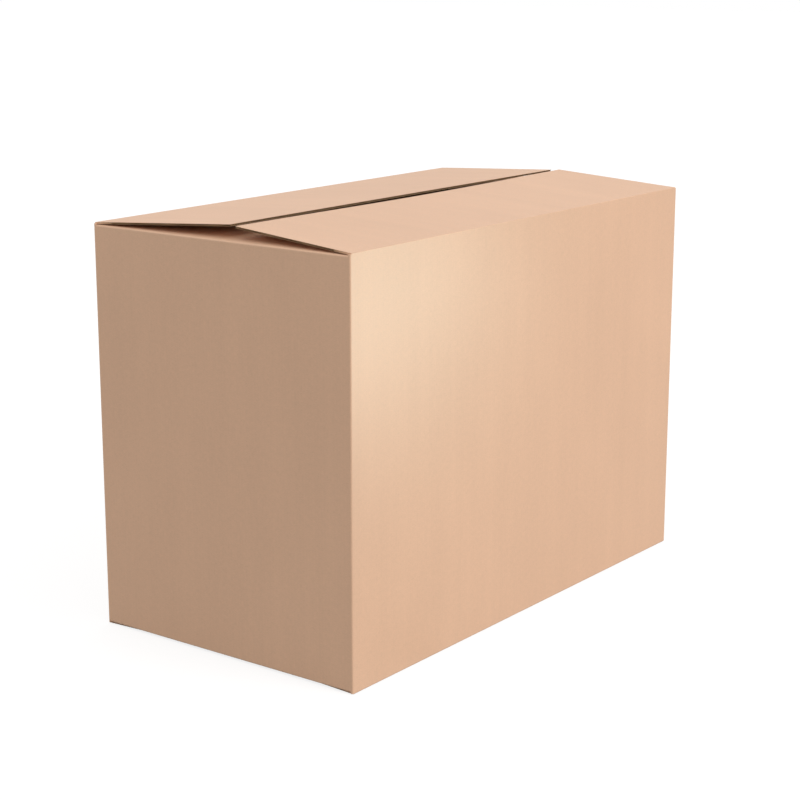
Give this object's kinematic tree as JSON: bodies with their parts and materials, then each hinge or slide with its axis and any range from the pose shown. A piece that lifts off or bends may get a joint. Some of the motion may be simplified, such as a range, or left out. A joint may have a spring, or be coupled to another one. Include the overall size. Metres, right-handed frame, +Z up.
{
  "type": "corrugated shipping carton",
  "caption": "Closed rectangular carton of fine-fluted corrugated board, with glued bottom flaps, level top end flaps and two untaped long top flaps that hinge at their creases.",
  "frame": {"origin": "centre of the face that the closed carton stands on, at floor level", "axes": "+Z up; +X along the length of the carton, away from the end panel that the picture shows; -Y is the outward direction of the long side that the picture shows"},
  "size_m": [0.53, 0.29, 0.3849],
  "materials": {
    "kraft_board": "matt, faintly smooth kraft liner"
  },
  "bodies": {
    "carton": {"carton": "kraft_board"},
    "front_flap": {"front_top_flap": "kraft_board"},
    "back_flap": {"back_top_flap": "kraft_board"}
  },
  "joints": [
    {"name": "front_flap_crease", "type": "hinge", "parent": "carton", "child": "front_flap", "pos_m": [0, -0.145, 0.375], "axis": [1, 0, 0], "range_deg": [-3.6, 256]},
    {"name": "back_flap_crease", "type": "hinge", "parent": "carton", "child": "back_flap", "pos_m": [0, 0.145, 0.375], "axis": [-1, 0, 0], "range_deg": [-3.5, 256]}
  ]
}
